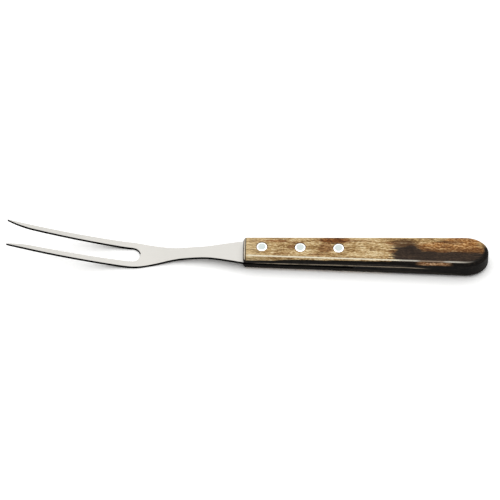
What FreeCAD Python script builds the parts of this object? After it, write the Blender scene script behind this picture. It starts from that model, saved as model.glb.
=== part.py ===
import FreeCAD, Part

import math
import os

from FreeCAD import Vector

# A two-tined roasting and carving fork: one stamped steel blade whose tang sits in
# a sawn slot of a one-piece wooden handle, held by three flush aluminium rivets.
#
# Millimetres.  +X runs from the tine points to the handle's butt, +Z up.  The fork
# lies on Z = 0 as it does on a table, on the root of its tines and on its handle.
# The origin is the centre of the overall box at table height.

# ---- blade: outline of the flat stamping ----------------------------------------
SHEET = 1.5                  # thickness of the steel
HEAD_WIDTH = 18.5            # over both tines
TINE_ROOT_WIDTH = 4.3        # one tine where it leaves the head
TINE_END_WIDTH = 3.0         # the same tine where its point begins
POINT_LENGTH = 16.0          # the ground point of each tine
POINT_FLAT = 0.25            # width left at the very tip
CROTCH_DEPTH = 82.4          # tine points to the bottom of the gap between the tines
HEAD_STRAIGHT = 75.6         # tine points to where the head begins to narrow
HEAD_RADIUS = 43.0           # from the head into the taper
TAPER_ANGLE = 12.0           # each side of the taper behind the head
TAPER_RADIUS = 57.0          # from the taper into the neck
NECK_WIDTH = 8.2
NECK_LENGTH = 7.3            # the parallel part of the neck
FLARE_RADIUS = 70.0          # from the neck into the flare
FLARE_ANGLE = 10.0           # each side of the flare in front of the handle

# ---- blade: the bends, seen from the side -----------------------------------------
SET_START = 5.0              # flat length in front of the handle, before the set
SET_RADIUS = 180.0           # the neck sets down towards the table
SET_SLOPE_LENGTH = 13.0      # straight between the set and the root bend
ROOT_RADIUS = 70.0           # the upturn at the root of the tines
TINE_RISE_ANGLE = 12.4       # slope of the tines where the root bend ends
TINE_SWEEP_RADIUS = 500.0    # the tines curl gently upward to their points

# ---- tang -------------------------------------------------------------------------
TANG_PAST_RIVETS = 9.2       # from the last rivet's axis to the tang's end
TANG_CORNER_RADIUS = 4.0
TANG_INSET = 0.05            # its edges lie this far inside the handle's sides

# ---- handle -----------------------------------------------------------------------
HANDLE_LENGTH = 152.1
HANDLE_FRONT_WIDTH = 16.3
HANDLE_BUTT_WIDTH = 21.6
HANDLE_FRONT_THICKNESS = 13.9
HANDLE_BUTT_THICKNESS = 15.6
BUTT_ROUND_LENGTH = 14.6     # length of the half-ellipse that ends the handle
HANDLE_EDGE_RADIUS = 3.4     # round the edge of the top
HANDLE_UNDER_RADIUS = 4.4    # round the edge of the underside, fuller for the fingers
HANDLE_FRONT_RADIUS = 2.0    # round the edge of the front end
SLOT_GAP = 0.05              # clearance on each face of the tang
SLOT_END_GAP = 0.8           # clearance behind the end of the tang
SAW_RADIUS = 60.0            # the slot ends on the arc that the saw leaves

# ---- rivets -----------------------------------------------------------------------
RIVET_COUNT = 3
RIVET_FIRST = 11.5           # front end of the handle to the first rivet
RIVET_PITCH = 23.8
RIVET_SHANK_DIAMETER = 4.8
RIVET_HEAD_DIAMETER = 6.6
RIVET_HEAD_DEPTH = 2.0       # depth of the cone that the upset head fills
RIVET_WOOD_GAP = 0.02        # the upset rivet all but fills its hole in the wood
RIVET_TANG_GAP = 0.10        # radial clearance of the punched holes in the tang

# ---- drawing aids -------------------------------------------------------------------
AHEAD = Vector(1, 0, 0)
ACROSS = Vector(0, 1, 0)
UP = Vector(0, 0, 1)


def line(a, b):
    return Part.LineSegment(a, b).toShape()


class Pen:
    """Draws straight lines and tangent arcs, end to end, in one plane.

    The heading is counted in degrees from the direction ahead towards the direction side.
    """

    def __init__(self, point, ahead, side):
        self.point = point
        self.ahead = ahead
        self.side = side
        self.heading = 0.0
        self.edges = []

    def direction(self, degrees):
        a = math.radians(degrees)
        return self.ahead * math.cos(a) + self.side * math.sin(a)

    def straight(self, length):
        end = self.point + self.direction(self.heading) * length
        self.edges.append(line(self.point, end))
        self.point = end

    def bend(self, radius, degrees):
        """Turns towards side if degrees is positive, away from it if negative."""
        inward = math.copysign(90, degrees)
        centre = self.point + self.direction(self.heading + inward) * radius
        stops = (self.heading, self.heading + degrees / 2, self.heading + degrees)
        points = [centre - self.direction(stop + inward) * radius for stop in stops]
        self.edges.append(Part.Arc(*points).toShape())
        self.point = points[-1]
        self.heading = stops[-1]


def s_curve(rise, radii, degrees):
    """Straight length between, and run along X, of two arcs that together climb rise.

    radii is the sum of the radii of the arcs, and degrees the slope between them.
    """
    a = math.radians(degrees)
    straight = (rise - radii * (1 - math.cos(a))) / math.sin(a)
    return straight, radii * math.sin(a) + straight * math.cos(a)


def with_mirror(edges):
    """The edges of a +Y half outline together with their images at -Y."""
    return edges + [edge.mirror(Vector(0, 0, 0), ACROSS) for edge in edges]


def prism(edges, direction):
    """A solid on a closed outline, reaching past the part both ways along direction."""
    face = Part.Face(Part.Wire(Part.__sortEdges__(edges)))
    face.translate(direction * -BEYOND)
    return face.extrude(direction * (2 * BEYOND))


# ---- places worked out from the sizes -------------------------------------------------
SHOULDER_HALF = HANDLE_FRONT_WIDTH / 2 - TANG_INSET
TAPER_RISE = (HEAD_WIDTH - NECK_WIDTH) / 2
FLARE_RISE = SHOULDER_HALF - NECK_WIDTH / 2
TAPER_STRAIGHT, TAPER_RUN = s_curve(TAPER_RISE, HEAD_RADIUS + TAPER_RADIUS, TAPER_ANGLE)
FLARE_STRAIGHT, FLARE_RUN = s_curve(FLARE_RISE, FLARE_RADIUS, FLARE_ANGLE)
BLADE_REACH = HEAD_STRAIGHT + TAPER_RUN + NECK_LENGTH + FLARE_RUN
OVERALL_LENGTH = BLADE_REACH + HANDLE_LENGTH
TIP_X = -OVERALL_LENGTH / 2
BUTT_X = OVERALL_LENGTH / 2
FRONT_X = TIP_X + BLADE_REACH              # the handle's front end
TANG_Z = HANDLE_FRONT_THICKNESS / 2        # the tang's middle plane
TANG_LENGTH = RIVET_FIRST + (RIVET_COUNT - 1) * RIVET_PITCH + TANG_PAST_RIVETS
RIVET_XS = [FRONT_X + RIVET_FIRST + i * RIVET_PITCH for i in range(RIVET_COUNT)]
RIVET_NAMES = ["rivet_front", "rivet_middle", "rivet_rear"]
BEYOND = 2 * OVERALL_LENGTH                # cutting forms reach this far past the part


# ---- blade --------------------------------------------------------------------------
def outer_edges():
    """The blade's +Y outline, from the tine point to the middle of the tang's end."""
    pen = Pen(Vector(TIP_X, HEAD_WIDTH / 2, 0), AHEAD, ACROSS)
    pen.straight(HEAD_STRAIGHT)
    pen.bend(HEAD_RADIUS, -TAPER_ANGLE)
    pen.straight(TAPER_STRAIGHT)
    pen.bend(TAPER_RADIUS, TAPER_ANGLE)
    pen.straight(NECK_LENGTH)
    pen.bend(FLARE_RADIUS, FLARE_ANGLE)
    pen.straight(FLARE_STRAIGHT)
    # inside the handle the tang follows the handle's side
    front, touch = handle_side_line()
    slope = math.atan2(touch.y - front.y, touch.x - front.x)
    corner_run = TANG_CORNER_RADIUS * (1 + math.sin(slope))
    pen.heading = math.degrees(slope)
    pen.straight((TANG_LENGTH - corner_run) / math.cos(slope))
    pen.bend(TANG_CORNER_RADIUS, -90 - pen.heading)
    pen.straight(pen.point.y)
    return pen.edges


def inner_edges():
    """The inside of the +Y tine, from its tip to the middle of the crotch."""
    outer = HEAD_WIDTH / 2
    gap_half = outer - TINE_ROOT_WIDTH
    root = Vector(TIP_X + CROTCH_DEPTH - gap_half, gap_half, 0)
    point_start = Vector(TIP_X + POINT_LENGTH, outer - TINE_END_WIDTH, 0)
    tip = Vector(TIP_X, outer - POINT_FLAT, 0)
    # one arc, tangent to the tine's inner edge, carries the point out to the tip
    along = (point_start - root).normalize()
    across = Vector(along.y, -along.x, 0)
    chord = tip - point_start
    radius = chord.dot(chord) / (2 * chord.dot(across))
    centre = point_start + across * radius
    to_middle = (point_start + tip) / 2 - centre
    middle = centre + to_middle.normalize() * radius
    crotch = Pen(root, AHEAD, ACROSS)
    crotch.bend(gap_half, -90)
    return [
        line(Vector(TIP_X, outer, 0), tip),
        Part.Arc(tip, middle, point_start).toShape(),
        line(point_start, root),
    ] + crotch.edges


def set_degrees():
    """The slope that brings the sheet down from the tang to the table."""
    bends = SET_RADIUS + ROOT_RADIUS
    drop = TANG_Z - SHEET / 2
    steepest = math.acos((bends - drop) / math.hypot(bends, SET_SLOPE_LENGTH))
    return math.degrees(steepest - math.atan2(SET_SLOPE_LENGTH, bends))


def sheet_face(offset):
    """Side view of the bent sheet at a height over its middle, from the tang's end."""
    pen = Pen(Vector(FRONT_X + TANG_LENGTH, 0, TANG_Z + offset), -AHEAD, UP)
    pen.straight(TANG_LENGTH + SET_START)
    pen.bend(SET_RADIUS + offset, -set_degrees())
    pen.straight(SET_SLOPE_LENGTH)
    pen.bend(ROOT_RADIUS - offset, set_degrees() + TINE_RISE_ANGLE)
    # the tines' sweep ends a little past their points, where the outline trims it
    run = pen.point.x - TIP_X + SHEET
    end_sine = math.sin(math.radians(pen.heading)) + run / TINE_SWEEP_RADIUS
    pen.bend(TINE_SWEEP_RADIUS - offset, math.degrees(math.asin(end_sine)) - pen.heading)
    return pen


def bent_sheet():
    """The sheet bent to its side view, wider than the blade."""
    start = Vector(FRONT_X + TANG_LENGTH, 0, TANG_Z)
    half = UP * (SHEET / 2)
    top = sheet_face(SHEET / 2)
    bottom = sheet_face(-SHEET / 2)
    ends = [line(start + half, start - half), line(top.point, bottom.point)]
    return prism(top.edges + bottom.edges + ends, ACROSS)


def fork_blade():
    outline = with_mirror(inner_edges() + outer_edges())
    blade = prism(outline, UP).common(bent_sheet())
    for x in RIVET_XS:
        radius = RIVET_SHANK_DIAMETER / 2 + RIVET_TANG_GAP
        hole = Part.makeCylinder(radius, 2 * SHEET, Vector(x, 0, TANG_Z - SHEET))
        blade = blade.cut(hole)
    return blade


# ---- handle -------------------------------------------------------------------------
def butt_point(degrees):
    """A point of the half-ellipse in which the handle ends."""
    a = math.radians(degrees)
    centre_x = BUTT_X - BUTT_ROUND_LENGTH
    half = HANDLE_BUTT_WIDTH / 2
    return Vector(centre_x + BUTT_ROUND_LENGTH * math.cos(a), half * math.sin(a), 0)


def side_touch_degrees():
    """Where on the half-ellipse the handle's straight +Y side runs in tangent."""
    u = (FRONT_X - butt_point(90).x) / BUTT_ROUND_LENGTH
    v = HANDLE_FRONT_WIDTH / HANDLE_BUTT_WIDTH
    return math.degrees(math.atan2(v, u) - math.acos(1 / math.hypot(u, v)))


def handle_side_line():
    """The two ends of the handle's straight +Y side."""
    return Vector(FRONT_X, HANDLE_FRONT_WIDTH / 2, 0), butt_point(side_touch_degrees())


def handle_plan():
    front, touch = handle_side_line()
    round_end = Part.makeCircle(1, Vector(), UP, 0, side_touch_degrees())
    to_ellipse = FreeCAD.Matrix()
    to_ellipse.scale(BUTT_ROUND_LENGTH, HANDLE_BUTT_WIDTH / 2, 1)
    to_ellipse.move(Vector(BUTT_X - BUTT_ROUND_LENGTH, 0, 0))
    half = [
        line(Vector(FRONT_X, 0, 0), front),
        line(front, touch),
        round_end.transformGeometry(to_ellipse),
    ]
    return with_mirror(half)


def handle_top_z(x):
    """Height of the handle's top face, which rises a little towards the butt."""
    rise = HANDLE_BUTT_THICKNESS - HANDLE_FRONT_THICKNESS
    return HANDLE_FRONT_THICKNESS + rise * (x - FRONT_X) / HANDLE_LENGTH


def handle_faces():
    """Everything between the handle's flat underside and its sloping top."""
    corners = [
        Vector(FRONT_X, 0, 0),
        Vector(BUTT_X, 0, 0),
        Vector(BUTT_X, 0, handle_top_z(BUTT_X)),
        Vector(FRONT_X, 0, handle_top_z(FRONT_X)),
    ]
    return prism([line(corners[i - 1], corners[i]) for i in range(4)], ACROSS)


def rounded_block():
    """The handle's outer form, its long edges rounded first and then its front end."""
    block = prism(handle_plan(), UP).common(handle_faces())
    at_front = FRONT_X + HANDLE_FRONT_RADIUS / 2
    for radius, under in ((HANDLE_EDGE_RADIUS, False), (HANDLE_UNDER_RADIUS, True)):
        flat = [edge for edge in block.Edges if edge.BoundBox.ZLength < radius]
        long_edges = [edge for edge in flat if edge.BoundBox.XMax > at_front]
        rim = [edge for edge in long_edges if (edge.BoundBox.ZMax < TANG_Z) == under]
        block = block.makeFillet(radius, rim)
    front_edges = [edge for edge in block.Edges if edge.BoundBox.XMax < at_front]
    return block.makeFillet(HANDLE_FRONT_RADIUS, front_edges)


def tang_slot():
    """The saw kerf for the tang: full width, ending on the saw's own arc."""
    height = SHEET + 2 * SLOT_GAP
    floor_z = TANG_Z - height / 2
    centre_x = FRONT_X + TANG_LENGTH + SLOT_END_GAP - SAW_RADIUS
    saw = Part.makeCylinder(SAW_RADIUS, height, Vector(centre_x, 0, floor_z))
    feed_start = Vector(centre_x - BEYOND, -SAW_RADIUS, floor_z)
    return saw.fuse(Part.makeBox(BEYOND, 2 * SAW_RADIUS, height, feed_start))


def rivet_form(x, gap):
    """A rivet at x, all its walls moved out by gap.

    Its cones carry on past the handle's faces, so that they can be cut off flush.
    """
    shank = RIVET_SHANK_DIAMETER / 2 + gap
    past_head = RIVET_HEAD_DIAMETER - RIVET_SHANK_DIAMETER / 2 + gap
    top = handle_top_z(x)
    profile = [
        Vector(0, 0, -RIVET_HEAD_DEPTH),
        Vector(past_head, 0, -RIVET_HEAD_DEPTH),
        Vector(shank, 0, RIVET_HEAD_DEPTH),
        Vector(shank, 0, top - RIVET_HEAD_DEPTH),
        Vector(past_head, 0, top + RIVET_HEAD_DEPTH),
        Vector(0, 0, top + RIVET_HEAD_DEPTH),
    ]
    face = Part.Face(Part.makePolygon(profile + profile[:1]))
    form = face.revolve(Vector(0, 0, 0), UP, 360)
    form.translate(Vector(x, 0, 0))
    return form


def handle():
    body = rounded_block().cut(tang_slot())
    for x in RIVET_XS:
        body = body.cut(rivet_form(x, RIVET_WOOD_GAP))
    return body


def rivet(x):
    """One rivet, its heads dressed flush with the faces of the handle."""
    return rivet_form(x, 0).common(handle_faces())


# ---- the parts ------------------------------------------------------------------------
def single_solid(name, shape):
    """The one closed solid that a part has to be."""
    solids = shape.removeSplitter().Solids
    if len(solids) != 1 or not solids[0].isValid():
        raise ValueError("%s came out as %d solids" % (name, len(solids)))
    return solids[0]


def main():
    parts = {"fork_blade": fork_blade(), "handle": handle()}
    for name, x in zip(RIVET_NAMES, RIVET_XS):
        parts[name] = rivet(x)
    os.makedirs("parts", exist_ok=True)
    for name, shape in parts.items():
        solid = single_solid(name, shape)
        solid.exportStep("parts/%s.step" % name)
        box = solid.BoundBox
        spans = (box.XMin, box.XMax, box.YMin, box.YMax, box.ZMin, box.ZMax)
        print("%-13s %8.1f mm3" % (name, solid.Volume), "%8.2f..%7.2f" * 3 % spans)


main()
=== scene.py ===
# %% [markdown]
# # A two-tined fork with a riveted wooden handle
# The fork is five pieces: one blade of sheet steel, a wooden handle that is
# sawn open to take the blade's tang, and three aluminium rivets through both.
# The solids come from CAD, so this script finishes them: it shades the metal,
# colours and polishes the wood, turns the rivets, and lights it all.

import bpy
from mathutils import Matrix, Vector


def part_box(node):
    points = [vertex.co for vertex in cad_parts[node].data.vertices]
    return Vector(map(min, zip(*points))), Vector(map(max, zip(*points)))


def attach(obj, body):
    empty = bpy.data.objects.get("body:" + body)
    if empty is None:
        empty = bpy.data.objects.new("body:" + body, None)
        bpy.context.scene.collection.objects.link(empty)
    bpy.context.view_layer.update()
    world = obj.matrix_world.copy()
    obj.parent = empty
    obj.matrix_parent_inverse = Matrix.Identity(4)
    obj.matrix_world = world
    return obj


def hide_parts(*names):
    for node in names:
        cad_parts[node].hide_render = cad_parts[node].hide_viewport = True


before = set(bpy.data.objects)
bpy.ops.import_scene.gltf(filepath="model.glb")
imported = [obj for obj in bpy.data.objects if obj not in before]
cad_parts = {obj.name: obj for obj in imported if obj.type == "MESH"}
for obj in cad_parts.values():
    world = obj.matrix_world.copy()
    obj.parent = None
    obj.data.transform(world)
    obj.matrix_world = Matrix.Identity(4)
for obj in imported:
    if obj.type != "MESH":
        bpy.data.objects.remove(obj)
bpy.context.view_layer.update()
print("the fork's solids:", sorted(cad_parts))

# %% Bring in what the lesson uses
import math

import bmesh
import bpy
from mathutils import Vector

MM = 0.001
PER_M = 1000.0               # millimetres in a metre, for shader inputs in metres
SAME_CORNER = 0.5e-6         # corners of the solids closer than this are merged
SAME_TURNED_CORNER = 1e-6    # the same for the turned rivets
UPRIGHT = 0.6                # a blade face that looks up or down less is the rim
# The lip is a thin dark bead of painted shade along the blade's near edges.
LIP_WIDTH, LIP_LIFT = 0.32 * MM, 0.02 * MM
LIP_RUN = 8.0 * MM           # the lip grows to its full width over this length
RIVET_HEAD_DEPTH, RIM_FALL = 2.0 * MM, 0.25 * MM
SHANK_RADIUS = 2.4 * MM
BLADE_CORNER, HANDLE_CORNER, RIVET_CORNER = 30, 32, 40  # degrees that stay sharp

# %% [markdown]
# ## Where things are
# Everything is placed from the boxes of the solids, so a change of size in CAD
# carries through. The handle's top runs slightly uphill towards the butt. How
# steeply is read from the tops of the first rivet and the last.

# %% Measure the handle and the row of rivets
handle_low, handle_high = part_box("handle")
blade_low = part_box("fork_blade")[0]
rivet_boxes = [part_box(n) for n in ("rivet_front", "rivet_middle", "rivet_rear")]

HANDLE_FRONT = handle_low.x
HANDLE_LENGTH = handle_high.x - handle_low.x
RIVET_X = [(low.x + high.x) / 2 for low, high in rivet_boxes]
RIVET_PITCH = (RIVET_X[2] - RIVET_X[0]) / 2
HEAD_RADIUS = (rivet_boxes[0][1].x - rivet_boxes[0][0].x) / 2
TOP_RISE = (rivet_boxes[2][1].z - rivet_boxes[0][1].z) / (RIVET_X[2] - RIVET_X[0])
FRONT_TOP = rivet_boxes[0][1].z - TOP_RISE * (RIVET_X[0] + HEAD_RADIUS - HANDLE_FRONT)
print(f"handle {HANDLE_LENGTH / MM:.1f} mm, rivets every {RIVET_PITCH / MM:.1f} mm")
print(f"its top starts at {FRONT_TOP / MM:.2f} mm and rises {TOP_RISE * 100:.2f} mm in 100")


# %% [markdown]
# ## A short way to wire shaders
# A material is a little network. These helpers add a node, feed each of its
# inputs with a number or with another node's output, and hand back the output.
# The patterns below then read like sums on a bench rather than like wiring.

# %% Helpers that add and join shader nodes
class Finish:
    """One material being made, with its node tree and its place on the piece."""

    def __init__(self, name):
        self.material = bpy.data.materials.new(name)
        self.material.use_nodes = True
        self.nodes = self.material.node_tree.nodes
        self.links = self.material.node_tree.links
        self.nodes.clear()
        self.place = self.nodes.new("ShaderNodeTexCoord").outputs["Object"]

    def feed(self, socket, value):
        if isinstance(value, bpy.types.NodeSocket):
            self.links.new(value, socket)
        else:
            socket.default_value = value

    def sum(self, operation, *values):
        node = self.nodes.new("ShaderNodeMath")
        node.operation = operation
        for socket, value in zip(node.inputs, values):
            self.feed(socket, value)
        return node.outputs[0]

    def step(self, value, start, end, low=0.0, high=1.0):
        """A soft step: low before start, high after end, smooth between."""
        node = self.nodes.new("ShaderNodeMapRange")
        node.interpolation_type = "SMOOTHSTEP"
        for name, v in (("Value", value), ("From Min", start), ("From Max", end),
                        ("To Min", low), ("To Max", high)):
            self.feed(node.inputs[name], v)
        return node.outputs["Result"]

    def point(self, x, y, z):
        node = self.nodes.new("ShaderNodeCombineXYZ")
        for socket, value in zip(node.inputs, (x, y, z)):
            self.feed(socket, value)
        return node.outputs[0]

    def noise(self, at, scale=1.0, detail=2.0, roughness=0.5, distortion=0.0):
        node = self.nodes.new("ShaderNodeTexNoise")
        self.feed(node.inputs["Vector"], at)
        for name, value in (("Scale", scale), ("Detail", detail),
                            ("Roughness", roughness), ("Distortion", distortion)):
            node.inputs[name].default_value = value
        return node.outputs["Fac"]

    def blend(self, share, first, second, how="MIX"):
        node = self.nodes.new("ShaderNodeMix")
        node.data_type = "RGBA"
        node.blend_type = how
        self.feed(node.inputs[0], share)
        self.feed(node.inputs[6], first)
        self.feed(node.inputs[7], second)
        return node.outputs[2]

    def ramp(self, value, *stops):
        node = self.nodes.new("ShaderNodeValToRGB")
        self.feed(node.inputs[0], value)
        elements = node.color_ramp.elements
        while len(elements) < len(stops):
            elements.new(0.5)
        for element, (at, colour) in zip(elements, stops):
            element.position, element.color = at, colour
        return node.outputs[0]

    def curve(self, value, low, high, *points):
        """A drawn curve through (value, result) points, both given in real units."""
        node = self.nodes.new("ShaderNodeFloatCurve")
        share = self.sum("DIVIDE", self.sum("SUBTRACT", value, points[0][0]),
                         points[-1][0] - points[0][0])
        self.feed(node.inputs["Value"], share)
        drawn = node.mapping.curves[0]
        while len(drawn.points) < len(points):
            drawn.points.new(0.5, 0.5)
        for spot, (at, result) in zip(drawn.points, points):
            spot.location = ((at - points[0][0]) / (points[-1][0] - points[0][0]),
                             (result - low) / (high - low))
        node.mapping.update()
        return self.sum("MULTIPLY_ADD", node.outputs[0], high - low, low)

    def relief(self, height, distance, strength=1.0):
        node = self.nodes.new("ShaderNodeBump")
        self.feed(node.inputs["Height"], height)
        node.inputs["Distance"].default_value = distance
        node.inputs["Strength"].default_value = strength
        return node.outputs["Normal"]

    def surface(self, **settings):
        """The main shader. Inputs are named with _ for a space."""
        shader = self.nodes.new("ShaderNodeBsdfPrincipled")
        for name, value in settings.items():
            self.feed(shader.inputs[name.replace("_", " ")], value)
        out = self.nodes.new("ShaderNodeOutputMaterial")
        self.links.new(shader.outputs[0], out.inputs["Surface"])
        return self.material


def paint(code):
    """A written colour such as #c6a977, as the linear light that shaders use."""
    parts = [int(code[i:i + 2], 16) / 255 for i in (1, 3, 5)]
    return tuple(p / 12.92 if p <= 0.04045 else ((p + 0.055) / 1.055) ** 2.4
                 for p in parts) + (1.0,)


print("paint check, mid grey:", [round(c, 3) for c in paint("#808080")])

# %% [markdown]
# ## The steel blade
# The blade is blanked from stainless sheet, then bent. Its faces are ground to
# a pale satin. The sheared rim is coloured near black: partly the duller sheared
# steel, partly painted shade. Two finishes on one piece are cleanest as two
# materials on its faces, chosen by which way each face looks: the rim's faces
# stand upright, and the sheet's faces look mostly up or down.


# %% Make the satin finish of the sheet
def split(f):
    """The place on the piece as three numbers in metres."""
    node = f.nodes.new("ShaderNodeSeparateXYZ")
    f.links.new(f.place, node.inputs[0])
    return node.outputs


def from_rivet(f, x, sideways):
    """Millimetres from the axis of the nearest rivet. sideways is in millimetres."""
    off = f.sum("SUBTRACT", x, RIVET_X[1])
    row = f.sum("ROUND", f.sum("DIVIDE", off, RIVET_PITCH))
    row = f.sum("MAXIMUM", f.sum("MINIMUM", row, 1.0), -1.0)
    off = f.sum("SUBTRACT", off, f.sum("MULTIPLY", row, RIVET_PITCH))
    off = f.sum("MULTIPLY", off, PER_M)
    return f.sum("SQRT", f.sum("ADD", f.sum("MULTIPLY", off, off),
                               f.sum("MULTIPLY", sideways, sideways)))


f = Finish("satin_stainless_steel")
x, y, z = split(f)
ground = f.noise(f.point(f.sum("MULTIPLY", x, 60.0), f.sum("MULTIPLY", y, 5200.0),
                         f.sum("MULTIPLY", z, 900.0)), detail=3.0, roughness=0.6)
cloud = f.noise(f.place, scale=55.0, detail=2.0)
tone = f.sum("MULTIPLY_ADD", ground, 0.35, f.sum("MULTIPLY", cloud, 0.65))
SATIN_STEEL = f.surface(
    Base_Color=f.ramp(tone, (0.30, paint("#a5a39f")), (0.70, paint("#b1afaa"))),
    Metallic=1.0,
    Roughness=f.step(tone, 0.25, 0.75, 0.36, 0.46),
    Normal=f.relief(ground, 0.00001, 0.5))
print("finish:", SATIN_STEEL.name, len(f.nodes), "nodes")

# %% Make the near-black finish of the sheared rim, partly painted shade
f = Finish("sheared_rim_painted_shade")
x, y, z = split(f)
tear = f.noise(f.point(f.sum("MULTIPLY", x, 3000.0), f.sum("MULTIPLY", y, 3000.0),
                       f.sum("MULTIPLY", z, 500.0)), detail=2.0)
# Near black and without gloss: partly the duller sheared steel, partly painted shade for the
# dark of the near edges.
RIM_STEEL_PAINTED_SHADE = f.surface(
    Base_Color=f.ramp(tear, (0.30, paint("#030303")), (0.75, paint("#0a0a0a"))),
    Metallic=0.0,
    Roughness=0.6,
    Specular_IOR_Level=0.0,
    Normal=f.relief(tear, 0.00002, 0.6))
print("finish:", RIM_STEEL_PAINTED_SHADE.name)


# %% Copy a solid as a clean mesh that may be finished
def clean_copy(node, name):
    """A copy of a CAD solid with its doubled corners merged, as a new piece."""
    piece = bpy.data.objects.new(name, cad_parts[node].data.copy())
    bpy.context.scene.collection.objects.link(piece)
    piece.data.materials.clear()
    mesh = bmesh.new()
    mesh.from_mesh(piece.data)
    bmesh.ops.remove_doubles(mesh, verts=mesh.verts, dist=SAME_CORNER)
    for face in mesh.faces:
        face.material_index = 0
        face.smooth = True
    mesh.to_mesh(piece.data)
    mesh.free()
    attributes = piece.data.attributes
    for old in ("custom_normal", "sharp_face"):
        if old in attributes:
            attributes.remove(attributes[old])
    return piece


def sharpen(mesh, degrees):
    """Marks the edges that turn by more than this as sharp, and counts them."""
    count = 0
    for edge in mesh.edges:
        if len(edge.link_faces) == 2:
            edge.smooth = edge.calc_face_angle() < math.radians(degrees)
            count += not edge.smooth
    return count


# %% Build the dark lip of painted shade along the blade's near edges
def painted_shade_lip(mesh, width, lift, tip, run):
    """A closed dark bead of painted shade on the top face along the edges that look to -Y."""
    inward, up, ends = {}, {}, {}
    edges = []
    for edge in mesh.edges:
        faces = sorted(edge.link_faces, key=lambda face: face.normal.z)
        if len(faces) != 2 or faces[1].normal.z < UPRIGHT or abs(faces[0].normal.z) > UPRIGHT:
            continue
        if faces[0].normal.y > -0.2:
            continue
        edges.append(tuple(edge.verts))
        for vert in edge.verts:
            inward[vert] = inward.get(vert, Vector()) - faces[0].normal
            up[vert] = up.get(vert, Vector()) + faces[1].normal
            ends[vert] = ends.get(vert, 0) + 1
    section = {}
    for vert, way in inward.items():
        normal = up[vert].normalized()
        way = (way - normal * way.dot(normal)).normalized()
        share = min(max((vert.co.x - tip) / run, 0.0), 1.0)
        across = way * width * (0.6 + 0.4 * share)
        over, under = normal * (lift * share), normal * -lift
        corners = [vert.co + shift
                   for shift in (over, over + across, under + across, under)]
        for corner in corners:
            corner.x = max(corner.x, tip)
        section[vert] = [mesh.verts.new(corner) for corner in corners]
    bead = []
    for a, b in edges:
        for side in range(4):
            ahead = (side + 1) % 4
            bead.append(mesh.faces.new((section[a][side], section[b][side],
                                        section[b][ahead], section[a][ahead])))
    bead += [mesh.faces.new(section[vert]) for vert, count in ends.items() if count == 1]
    bmesh.ops.recalc_face_normals(mesh, faces=bead)
    return bead


# %% Dress the blade: satin faces, a rim partly painted as shade, and a lip of painted shade
blade = clean_copy("fork_blade", "fork_blade_dressed")
blade.data.materials.append(SATIN_STEEL)
blade.data.materials.append(RIM_STEEL_PAINTED_SHADE)
mesh = bmesh.new()
mesh.from_mesh(blade.data)
mesh.normal_update()
for face in mesh.faces:
    face.material_index = 1 if abs(face.normal.z) < UPRIGHT else 0
lip = painted_shade_lip(mesh, LIP_WIDTH, LIP_LIFT, blade_low.x, LIP_RUN)
for face in lip:
    face.material_index = 1
sharp = sharpen(mesh, BLADE_CORNER)
print("a lip of", len(lip), "faces along the near edges")
mesh.to_mesh(blade.data)
mesh.free()
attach(blade, "root")
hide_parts("fork_blade")
print("blade:", len(blade.data.polygons), "faces,", sharp, "sharp edges")

# %% [markdown]
# ## The wooden handle
# The handle is a pale hardwood, stained and scorched dark round its sides and
# over the rear half of its top, then lacquered. Painting an image would be one
# way, but a pattern worked out from the place in the wood has no seams: it runs
# through the piece as real grain does. The axes used are how far along the
# handle, how far across it, and how deep below its top, all in millimetres.

# %% Set out the wood's own axes
f = Finish("lacquered_scorched_wood")
x, y, z = split(f)
along = f.sum("MULTIPLY", f.sum("SUBTRACT", x, HANDLE_FRONT), PER_M)
across = f.sum("MULTIPLY", y, PER_M)
height = f.sum("MULTIPLY", z, PER_M)
top_height = f.sum("MULTIPLY_ADD", along, TOP_RISE, FRONT_TOP / MM)
below_top = f.sum("SUBTRACT", top_height, height)
print("wood axes set; the handle is", round(HANDLE_LENGTH / MM, 1), "mm long")

# %% Draw the grain: long fibres, short flecks and slow clouds
def stretched(f, length, width, shift=0.0):
    """A noise whose marks are length long by width wide, in millimetres."""
    return f.point(f.sum("MULTIPLY_ADD", along, 1.0 / length, shift),
                   f.sum("DIVIDE", across, width), f.sum("DIVIDE", height, width))


fibre = f.noise(stretched(f, 11.0, 0.7), detail=4.0, roughness=0.62, distortion=0.3)
fleck = f.noise(stretched(f, 1.7, 0.62, 7.0), detail=2.0, roughness=0.65)
cloud = f.noise(stretched(f, 14.0, 3.4, 3.0), detail=2.0)
ragged = f.noise(stretched(f, 9.0, 1.1, 11.0), detail=4.0, roughness=0.65)
grain = f.sum("ADD", f.sum("MULTIPLY", fibre, 0.42),
              f.sum("MULTIPLY_ADD", fleck, 0.42, f.sum("MULTIPLY", cloud, 0.16)))
pale_wood = f.ramp(grain, (0.41, paint("#6e4e2a")), (0.47, paint("#a68352")),
                   (0.53, paint("#cdae7c")), (0.60, paint("#f2dfb4")))
brown_wood = f.ramp(grain, (0.40, paint("#3a1e0a")), (0.47, paint("#683c19")),
                    (0.54, paint("#925c2b")), (0.61, paint("#c39055")))
amber_wood = f.ramp(grain, (0.41, paint("#43230c")), (0.47, paint("#835226")),
                    (0.53, paint("#b8844b")), (0.59, paint("#ebc48d")))
scorched_wood = f.ramp(grain, (0.40, paint("#1d140d")), (0.50, paint("#30241b")),
                       (0.61, paint("#4a3a2c")))
dark_wood = f.ramp(grain, (0.40, paint("#030202")), (0.50, paint("#0f0c09")),
                   (0.61, paint("#2a231c")))
print("five woods made from one grain")


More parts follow.
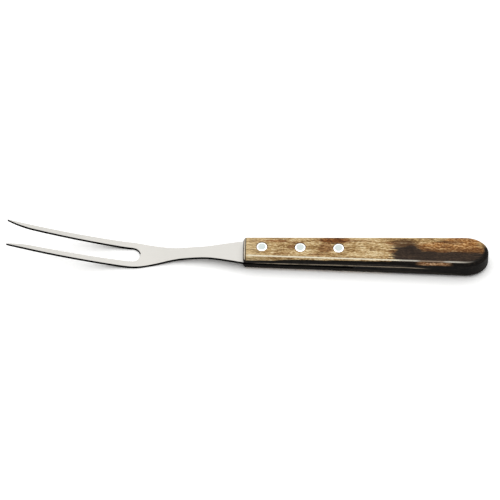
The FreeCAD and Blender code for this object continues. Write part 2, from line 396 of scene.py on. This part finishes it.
# %% Draw a soft-edged spot that the grain frays
def spot(at_along, at_across, half_length, half_width, fray=0.9):
    a = f.sum("DIVIDE", f.sum("SUBTRACT", along, at_along), half_length)
    c = f.sum("DIVIDE", f.sum("SUBTRACT", across, at_across), half_width)
    away = f.sum("SQRT", f.sum("ADD", f.sum("MULTIPLY", a, a), f.sum("MULTIPLY", c, c)))
    away = f.sum("ADD", away, f.sum("MULTIPLY", f.sum("SUBTRACT", ragged, 0.5), -2.0 * fray))
    return f.step(away, 0.65, 1.15, 1.0, 0.0)


# Reddish streaks beside the rivets and along the far rear half.
streaks = spot(57.0, 5.6, 12.5, 2.3)
for at_along, at_across, half_length, half_width, depth in (
        (21.0, 4.6, 8.0, 1.2, 0.8), (51.0, -0.5, 5.0, 4.2, 0.7), (30.0, 0.5, 3.0, 1.6, 0.7),
        (9.0, 4.0, 6.0, 0.9, 0.45), (34.0, 3.4, 5.0, 0.8, 0.5), (46.0, -5.4, 6.0, 1.0, 0.6),
        (24.0, -4.9, 6.0, 0.8, 0.45), (75.0, 5.5, 6.0, 0.8, 0.4), (92.0, 4.0, 5.0, 1.4, 0.7),
        (93.0, -2.0, 3.5, 1.5, 0.8)):
    extra = f.sum("MULTIPLY", spot(at_along, at_across, half_length, half_width), depth)
    streaks = f.sum("MAXIMUM", streaks, extra)
rear_across = f.curve(along, -12.0, 14.0, (100.0, 3.4), (112.0, 4.6), (120.0, 5.4),
                      (130.0, 10.0), (154.0, 12.0))
frayed = f.sum("MULTIPLY_ADD", f.sum("SUBTRACT", ragged, 0.5), 5.0, across)
rear = f.sum("MULTIPLY", f.step(along, 103.0, 112.0),
             f.step(f.sum("SUBTRACT", rear_across, frayed), -1.6, 1.6))
golden = spot(149.5, 4.6, 5.0, 3.6, 0.5)
rear = f.sum("MULTIPLY", rear, f.sum("SUBTRACT", 1.0, f.sum("MULTIPLY", golden, 0.8)))
fresh = f.blend(f.step(along, 16.0, 4.0, 0.0, 0.22), pale_wood, paint("#f3deae"))
wood = f.blend(streaks, fresh, brown_wood)
wood = f.blend(rear, wood, amber_wood)
deep = f.sum("MAXIMUM", f.sum("MULTIPLY", spot(129.0, 5.6, 8.0, 1.6, 1.4), 0.75),
             spot(99.5, 3.6, 8.0, 3.4, 1.2))
deep = f.sum("MULTIPLY", deep, f.step(fibre, 0.58, 0.42, 0.55, 0.95))
wood = f.blend(deep, wood, paint("#4a2f1b"))
print("brown streaks laid over the pale wood")

# %% Scorch the rear half, with a ragged front edge along the grain
edge_across = f.curve(along, -12.0, 12.0, (84.0, 0.6), (94.0, 1.2), (100.0, 1.8),
                      (104.0, 2.6), (107.0, 1.8), (110.5, -0.9), (116.0, -1.5),
                      (130.0, -1.8), (154.0, -2.1))
inside = f.sum("SUBTRACT", edge_across, frayed)
singed = f.sum("MULTIPLY", f.step(inside, -5.2, 0.6), f.step(along, 92.0, 97.0))
wood = f.blend(f.sum("MULTIPLY", singed, 0.72), wood, paint("#452c18"))
beside = f.step(inside, -0.6, 0.6)
front_edge = f.sum("MULTIPLY_ADD", f.sum("SUBTRACT", ragged, 0.5), 24.0, along)
behind = f.step(front_edge, 90.5, 94.5)
scorch = f.sum("MULTIPLY", beside, behind)
wood = f.blend(scorch, wood, scorched_wood)
print("scorch laid over the rear half")

# %% Darken the sides and ends, where the stain is thickest
wander = f.sum("MULTIPLY_ADD", f.sum("SUBTRACT", ragged, 0.5), 1.2, below_top)
near_edge = f.curve(along, 0.0, 4.0, (0.0, 3.4), (14.0, 3.2), (22.0, 2.5), (31.0, 1.8),
                    (64.0, 1.25), (84.0, 1.0), (105.0, 0.9), (154.0, 0.9))
edge_drop = f.sum("MULTIPLY_ADD", f.sum("SUBTRACT", near_edge, 1.4),
                  f.step(across, 2.0, -2.0), 1.4)
below_edge = f.sum("SUBTRACT", wander, edge_drop)
side = f.sum("MULTIPLY", f.step(below_edge, -0.2, 0.25), f.step(height, 0.7, 1.3))
wavy = f.sum("MULTIPLY_ADD", f.sum("SUBTRACT", fleck, 0.5), 0.4, along)
end = f.step(wavy, 1.85, 1.6)
BUTT_ROUND, BUTT_HALF = 14.6, (handle_high.y - handle_low.y) / 2 / MM
round_x = f.sum("DIVIDE", f.sum("SUBTRACT", along, HANDLE_LENGTH / MM - BUTT_ROUND), BUTT_ROUND)
round_x = f.sum("MAXIMUM", round_x, 0.0)
round_y = f.sum("DIVIDE", across, BUTT_HALF)
round_out = f.sum("SQRT", f.sum("ADD", f.sum("MULTIPLY", round_x, round_x),
                                f.sum("MULTIPLY", round_y, round_y)))
butt = f.sum("MULTIPLY", f.step(round_out, 0.74, 0.86), f.step(along, 138.0, 144.0))
butt = f.sum("MULTIPLY", butt, f.step(across, 5.6, 1.6))
stain = f.sum("MAXIMUM", f.sum("MAXIMUM", side, end), butt)
print("side and end stain placed")

# %% Thin pale grain lines run along the dark sides
level = f.curve(along, 0.0, 16.0, (0.0, 7.4), (28.0, 8.3), (53.0, 8.95), (76.0, 9.2),
                (99.0, 9.3), (114.0, 8.8), (154.0, 8.6))
slow = f.noise(stretched(f, 30.0, 30.0, 5.0), detail=1.0)
side_wood = dark_wood
for offset, thick, start, end_at, colour in (
        (0.0, 0.9, 0.0, 118.0, "#bdae98"), (-2.1, 0.7, 36.0, 100.0, "#6e685c"),
        (-5.6, 0.7, 10.0, 152.0, "#4e4c45"), (1.9, 0.35, 62.0, 106.0, "#5a5148"),
        (-4.0, 0.45, 70.0, 140.0, "#48423a")):
    away = f.sum("ABSOLUTE", f.sum("SUBTRACT", f.sum("SUBTRACT", height, level),
                                   f.sum("MULTIPLY_ADD", slow, 0.8, offset - 0.4)))
    line = f.sum("POWER", f.step(away, 0.0, thick, 1.0, 0.0), 1.5)
    line = f.sum("MULTIPLY", line, f.sum("MULTIPLY", f.step(along, start, start + 12.0),
                                         f.step(along, end_at, end_at - 12.0)))
    line = f.sum("MULTIPLY", line, f.step(fibre, 0.36, 0.54, 0.35, 1.0))
    side_wood = f.blend(line, side_wood, paint(colour))
off_middle = f.sum("ABSOLUTE", f.sum("SUBTRACT", height, 6.95))
groove = f.sum("MULTIPLY", f.step(off_middle, 0.95, 0.6),
               f.sum("MULTIPLY", f.step(along, 60.0, 68.0), f.step(along, 112.0, 80.0)))
side_wood = f.blend(groove, side_wood, paint("#030303"))
worn_length = f.sum("MULTIPLY", f.step(along, 106.0, 112.0), f.step(along, 131.0, 124.0))
worn = f.sum("MULTIPLY", worn_length,
             f.sum("MULTIPLY", f.step(wander, 3.0, 2.2), f.step(across, 0.0, -2.0)))
worn_wood = f.ramp(grain, (0.41, paint("#5e3b20")), (0.50, paint("#a97a52")),
                   (0.59, paint("#efcaa0")))
side_wood = f.blend(f.sum("MULTIPLY", worn, 0.95), side_wood, worn_wood)
wood = f.blend(stain, wood, side_wood)
# A painted highlight: a pale cream stripe on the rounded front end, between the dark end stain.
front_painted_highlight = f.sum("MULTIPLY", f.step(wavy, 0.45, 0.6), f.step(wavy, 1.25, 1.1))
front_painted_highlight = f.sum("MULTIPLY", front_painted_highlight, f.step(below_top, 3.4, 2.9))
wood = f.blend(f.sum("MULTIPLY", front_painted_highlight, 0.9), wood, paint("#f0e2cc"))
print("side lines and the front lip drawn")

# %% Dark rings where the wood meets the rivet heads
ring = from_rivet(f, x, across)
head = HEAD_RADIUS / MM
ring = f.step(ring, head + 0.55, head + 0.1)
wood = f.blend(f.sum("MULTIPLY", ring, 0.72), wood, paint("#3a2614"))

# %% A painted highlight: a pale line along the near top edge, where the lamp glints on the rounding
off_line = f.sum("ABSOLUTE", f.sum("SUBTRACT", below_top, 0.47))
painted_highlight_line = f.sum("MULTIPLY", f.step(off_line, 0.32, 0.08), f.step(across, 1.0, -4.0))
painted_highlight_line = f.sum("MULTIPLY", painted_highlight_line, f.step(along, 1.9, 2.6))
painted_highlight_line = f.sum("MULTIPLY", painted_highlight_line, f.step(along, 145.0, 131.0))
painted_highlight_line = f.sum("MULTIPLY", painted_highlight_line, f.step(fleck, 0.30, 0.52, 0.72, 1.0))
# The painted highlight is grey over the scorched rear, and dimmer brown over the worn patch.
painted_highlight_tone = f.blend(f.step(along, 95.0, 99.0), paint("#fff6dc"), paint("#cfc9bc"))
dull = f.sum("MULTIPLY", f.step(along, 107.0, 111.0), f.step(along, 127.0, 123.0))
painted_highlight_tone = f.blend(f.sum("MULTIPLY", dull, 0.85), painted_highlight_tone, paint("#8a7058"))
wood = f.blend(painted_highlight_line, wood, painted_highlight_tone)
WOOD = f.surface(
    Base_Color=wood,
    Roughness=f.step(grain, 0.35, 0.65, 0.52, 0.42),
    Specular_IOR_Level=0.05,
    Coat_Weight=0.06,
    Coat_Roughness=0.08,
    Normal=f.relief(f.sum("ADD", fibre, f.sum("MULTIPLY", fleck, 0.5)), 0.00006, 0.5))
print("finish:", WOOD.name, len(f.nodes), "nodes")

# %% Dress the handle
handle = clean_copy("handle", "handle_dressed")
handle.data.materials.append(WOOD)
mesh = bmesh.new()
mesh.from_mesh(handle.data)
mesh.normal_update()
sharp = sharpen(mesh, HANDLE_CORNER)
mesh.to_mesh(handle.data)
mesh.free()
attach(handle, "root")
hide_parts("handle")
print("handle:", len(handle.data.polygons), "faces,", sharp, "sharp edges")

# %% [markdown]
# ## The rivets
# Each rivet is a soft aluminium pin with a turned head at both ends, ground
# nearly flush with the wood. Three identical rivets in a row are a natural job
# for Geometry Nodes: one head is turned by a rule, and a line of points places
# it, so the number, the pitch and the head's shape stay named inputs.

# %% Make the aluminium finish, with its rim painted near white as a highlight
f = Finish("turned_aluminium")
x, y, z = split(f)
out = from_rivet(f, x, f.sum("MULTIPLY", y, PER_M))
turned = f.noise(f.point(f.sum("MULTIPLY", out, 9.0), 0.0, 0.0), detail=2.0)
scuff = f.noise(f.place, scale=900.0, detail=3.0)
middle = f.ramp(f.sum("MULTIPLY_ADD", scuff, 0.6, f.sum("MULTIPLY", turned, 0.4)),
                (0.35, paint("#989f9e")), (0.65, paint("#aeb4b2")))
# The rim's near-white colour is a painted highlight, added to the real glint of its rounded
# rim.
rim = f.step(out, HEAD_RADIUS / MM - 1.0, HEAD_RADIUS / MM - 0.6)
ALUMINIUM = f.surface(
    Base_Color=f.blend(rim, middle, paint("#fbfcfc")),
    Metallic=1.0,
    Roughness=f.step(scuff, 0.3, 0.7, 0.34, 0.46),
    Normal=f.relief(turned, 0.00001, 0.5))
print("finish:", ALUMINIUM.name)


# %% Write the node tree that sets a row of rivets
def rivet_row_tree():
    tree = bpy.data.node_groups.new("rivet_row", "GeometryNodeTree")
    tree.interface.new_socket("Geometry", in_out="OUTPUT", socket_type="NodeSocketGeometry")
    for name, kind in (("Count", "NodeSocketInt"), ("First", "NodeSocketFloat"),
                       ("Pitch", "NodeSocketFloat"), ("Head Radius", "NodeSocketFloat"),
                       ("Head Depth", "NodeSocketFloat"), ("Rim Fall", "NodeSocketFloat"),
                       ("Top Start", "NodeSocketFloat"), ("Top Rise", "NodeSocketFloat"),
                       ("Shank Radius", "NodeSocketFloat"), ("Metal", "NodeSocketMaterial")):
        tree.interface.new_socket(name, in_out="INPUT", socket_type=kind)
    nodes, links = tree.nodes, tree.links
    start = nodes.new("NodeGroupInput").outputs

    def add(kind, **inputs):
        node = nodes.new(kind)
        for name, value in inputs.items():
            socket = node.inputs[name.replace("_", " ")]
            if isinstance(value, bpy.types.NodeSocket):
                links.new(value, socket)
            else:
                socket.default_value = value
        return node

    def sums(operation, *values):
        node = nodes.new("ShaderNodeMath")
        node.operation = operation
        for socket, value in zip(node.inputs, values):
            if isinstance(value, bpy.types.NodeSocket):
                links.new(value, socket)
            else:
                socket.default_value = value
        return node.outputs[0]

    def turned_head():
        """One head: its face falls away to a soft rim, and below it tapers to the shank."""
        disc = nodes.new("GeometryNodeMeshCylinder")
        disc.fill_type = "TRIANGLE_FAN"
        for name, value in (("Vertices", 64), ("Side Segments", 2), ("Fill Segments", 14)):
            disc.inputs[name].default_value = value
        links.new(start["Head Radius"], disc.inputs["Radius"])
        links.new(start["Head Depth"], disc.inputs["Depth"])
        place = nodes.new("GeometryNodeInputPosition").outputs[0]
        apart = add("ShaderNodeSeparateXYZ", Vector=place).outputs
        out = sums("SQRT", sums("ADD", sums("MULTIPLY", apart[0], apart[0]),
                                sums("MULTIPLY", apart[1], apart[1])))
        share = sums("DIVIDE", out, start["Head Radius"])
        fall = sums("POWER", sums("MAXIMUM", sums("SUBTRACT", share, 0.78), 0.0), 2.0)
        fall = sums("MULTIPLY", sums("MULTIPLY", fall, 20.0), start["Rim Fall"])
        upper = sums("GREATER_THAN", apart[2], 0.0)
        drop = sums("MULTIPLY", sums("MULTIPLY", fall, upper), -1.0)
        half = sums("MULTIPLY", start["Head Depth"], -0.5)
        narrow = sums("DIVIDE", start["Shank Radius"], start["Head Radius"])
        depth = sums("SUBTRACT", 0.5, sums("DIVIDE", apart[2], start["Head Depth"]))
        shrink = sums("MULTIPLY", sums("SUBTRACT", narrow, 1.0), depth)
        shift = nodes.new("ShaderNodeCombineXYZ")
        links.new(sums("MULTIPLY", apart[0], shrink), shift.inputs[0])
        links.new(sums("MULTIPLY", apart[1], shrink), shift.inputs[1])
        links.new(sums("ADD", drop, half), shift.inputs[2])
        moved = add("GeometryNodeSetPosition", Geometry=disc.outputs["Mesh"],
                    Offset=shift.outputs[0])
        return moved.outputs[0]

    head = turned_head()
    line = nodes.new("GeometryNodeMeshLine")
    links.new(start["Count"], line.inputs["Count"])
    first = nodes.new("ShaderNodeCombineXYZ")
    links.new(start["First"], first.inputs[0])
    links.new(first.outputs[0], line.inputs["Start Location"])
    gap = nodes.new("ShaderNodeCombineXYZ")
    links.new(start["Pitch"], gap.inputs[0])
    links.new(gap.outputs[0], line.inputs["Offset"])

    place = nodes.new("GeometryNodeInputPosition").outputs[0]
    apart = add("ShaderNodeSeparateXYZ", Vector=place).outputs
    top = sums("MULTIPLY_ADD", apart[0], start["Top Rise"], start["Top Start"])
    lift = nodes.new("ShaderNodeCombineXYZ")
    links.new(top, lift.inputs[2])
    tops = add("GeometryNodeSetPosition", Geometry=line.outputs[0], Offset=lift.outputs[0])
    lean = nodes.new("ShaderNodeCombineXYZ")
    links.new(sums("MULTIPLY", start["Top Rise"], -1.0), lean.inputs[1])
    upper = add("GeometryNodeInstanceOnPoints", Points=tops.outputs[0], Instance=head,
                Rotation=lean.outputs[0])
    lower = add("GeometryNodeInstanceOnPoints", Points=line.outputs[0], Instance=head,
                Rotation=(math.pi, 0.0, 0.0))

    pin = nodes.new("GeometryNodeMeshCylinder")
    pin.inputs["Vertices"].default_value = 48
    links.new(start["Shank Radius"], pin.inputs["Radius"])
    length = sums("SUBTRACT", start["Top Start"], start["Head Depth"])
    links.new(length, pin.inputs["Depth"])
    centre = nodes.new("ShaderNodeCombineXYZ")
    links.new(sums("MULTIPLY", start["Top Start"], 0.5), centre.inputs[2])
    pin_moved = add("GeometryNodeSetPosition", Geometry=pin.outputs["Mesh"],
                    Offset=centre.outputs[0])
    pins = add("GeometryNodeInstanceOnPoints", Points=line.outputs[0],
               Instance=pin_moved.outputs[0])

    join = nodes.new("GeometryNodeJoinGeometry")
    for part in (upper, lower, pins):
        links.new(part.outputs[0], join.inputs[0])
    real = add("GeometryNodeRealizeInstances", Geometry=join.outputs[0])
    metal = add("GeometryNodeSetMaterial", Geometry=real.outputs[0], Material=start["Metal"])
    out = nodes.new("NodeGroupOutput")
    links.new(metal.outputs[0], out.inputs[0])
    return tree


# %% Run the tree once and keep its plain mesh
def settle(tree, name, inputs):
    """Evaluates a node tree on an empty mesh and returns the finished piece."""
    holder = bpy.data.objects.new(name + "_holder", bpy.data.meshes.new(name))
    bpy.context.scene.collection.objects.link(holder)
    modifier = holder.modifiers.new("nodes", "NODES")
    modifier.node_group = tree
    for item in tree.interface.items_tree:
        if item.in_out == "INPUT" and item.name in inputs:
            modifier[item.identifier] = inputs[item.name]
    graph = bpy.context.evaluated_depsgraph_get()
    mesh = bpy.data.meshes.new_from_object(holder.evaluated_get(graph))
    mesh.name = name
    bpy.data.objects.remove(holder)
    piece = bpy.data.objects.new(name, mesh)
    bpy.context.scene.collection.objects.link(piece)
    return piece


def shade(piece, degrees):
    """Smooth shading that still breaks at the piece's real corners."""
    mesh = bmesh.new()
    mesh.from_mesh(piece.data)
    bmesh.ops.remove_doubles(mesh, verts=mesh.verts, dist=SAME_TURNED_CORNER)
    bmesh.ops.recalc_face_normals(mesh, faces=mesh.faces)
    for face in mesh.faces:
        face.smooth = True
    count = sharpen(mesh, degrees)
    mesh.to_mesh(piece.data)
    mesh.free()
    return count


rivets = settle(rivet_row_tree(), "rivets_turned", {
    "Count": 3, "First": RIVET_X[0], "Pitch": RIVET_PITCH, "Head Radius": HEAD_RADIUS,
    "Head Depth": RIVET_HEAD_DEPTH, "Rim Fall": RIM_FALL,
    "Top Start": FRONT_TOP - TOP_RISE * HANDLE_FRONT, "Top Rise": TOP_RISE,
    "Shank Radius": SHANK_RADIUS, "Metal": ALUMINIUM})
sharp = shade(rivets, RIVET_CORNER)
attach(rivets, "root")
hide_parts("rivet_front", "rivet_middle", "rivet_rear")
print("rivets:", len(rivets.data.polygons), "faces")

# %% [markdown]
# ## Floor, light and camera
# The fork lies on a plain white sheet. One wide soft lamp hangs overhead, a touch
# behind the fork, so the shadows stay short and fall towards the viewer. A plain
# pale room fills them in, and it is what the metal mirrors.

# %% Lay the floor
f = Finish("white_sheet")
path = f.nodes.new("ShaderNodeLightPath").outputs
sheet = f.nodes.new("ShaderNodeBsdfDiffuse")
SHEET_GREY, SHEET_WHITE = (0.80, 0.80, 0.80, 1.0), (1.4, 1.4, 1.39, 1.0)
f.feed(sheet.inputs["Color"], f.blend(path["Is Camera Ray"], SHEET_GREY, SHEET_WHITE))
out = f.nodes.new("ShaderNodeOutputMaterial")
f.links.new(sheet.outputs[0], out.inputs["Surface"])
floor_mesh = bpy.data.meshes.new("floor")
floor_mesh.from_pydata([(-4, -4, 0), (4, -4, 0), (4, 4, 0), (-4, 4, 0)], [], [(0, 1, 2, 3)])
floor = bpy.data.objects.new("floor", floor_mesh)
floor.data.materials.append(f.material)
floor.location.z = -0.02 * MM
bpy.context.scene.collection.objects.link(floor)
print("floor laid at", floor.location.z)

# %% Hang the lamp and fill the room
def lamp(name, deep, wide, watts, behind, far):
    """A soft box aimed at the fork, leaning behind it by this many degrees."""
    light = bpy.data.lights.new(name, "AREA")
    light.shape, light.size, light.size_y, light.energy = "RECTANGLE", deep, wide, watts
    holder = bpy.data.objects.new(name, light)
    lean = math.radians(behind)
    away = Vector((0.0, math.sin(lean), math.cos(lean)))
    holder.location = away * far
    holder.rotation_euler = away.to_track_quat("Z", "X").to_euler()
    bpy.context.scene.collection.objects.link(holder)
    return holder


softbox = lamp("overhead_softbox", deep=2.2, wide=2.6, watts=24.5, behind=3.0, far=1.1)
world = bpy.data.worlds.new("pale_room")
bpy.context.scene.world = world
world.use_nodes = True
wn, wl = world.node_tree.nodes, world.node_tree.links
wn.clear()
path = wn.new("ShaderNodeLightPath").outputs


def brighter(level, ray, value):
    """Where the ray is of this kind the level becomes value."""
    node = wn.new("ShaderNodeMapRange")
    wl.new(path[ray], node.inputs["Value"])
    if isinstance(level, bpy.types.NodeSocket):
        wl.new(level, node.inputs["To Min"])
    else:
        node.inputs["To Min"].default_value = level
    node.inputs["To Max"].default_value = value
    return node.outputs["Result"]


level = brighter(0.12, "Is Glossy Ray", 0.9)
level = brighter(level, "Is Transmission Ray", 0.9)
level = brighter(level, "Is Camera Ray", 1.0)
room = wn.new("ShaderNodeBackground")
room.inputs["Color"].default_value = (1.0, 1.0, 1.0, 1.0)
wl.new(level, room.inputs["Strength"])
wo = wn.new("ShaderNodeOutputWorld")
wl.new(room.outputs[0], wo.inputs["Surface"])
print("lamp at", [round(v, 2) for v in softbox.location])

# %% Set up the camera
VIEW_AZIMUTH, VIEW_ELEVATION = math.radians(1.64), math.radians(55.0)
VIEW_WIDTH, VIEW_FAR, SENSOR = 0.3112, 4.0, 36.0
AIM = Vector((0.00114, 0.00700, 0.0))
back = Vector((math.sin(VIEW_AZIMUTH) * math.cos(VIEW_ELEVATION),
               -math.cos(VIEW_AZIMUTH) * math.cos(VIEW_ELEVATION), math.sin(VIEW_ELEVATION)))
lens = bpy.data.cameras.new("viewer")
lens.sensor_width = SENSOR
lens.lens = SENSOR * VIEW_FAR / VIEW_WIDTH
camera = bpy.data.objects.new("viewer", lens)
camera.location = AIM + back * VIEW_FAR
camera.rotation_euler = back.to_track_quat("Z", "Y").to_euler()
bpy.context.scene.collection.objects.link(camera)
bpy.context.scene.camera = camera
bpy.context.scene.view_settings.view_transform = "Standard"
print(f"camera {VIEW_FAR} m away with a {lens.lens:.0f} mm lens")
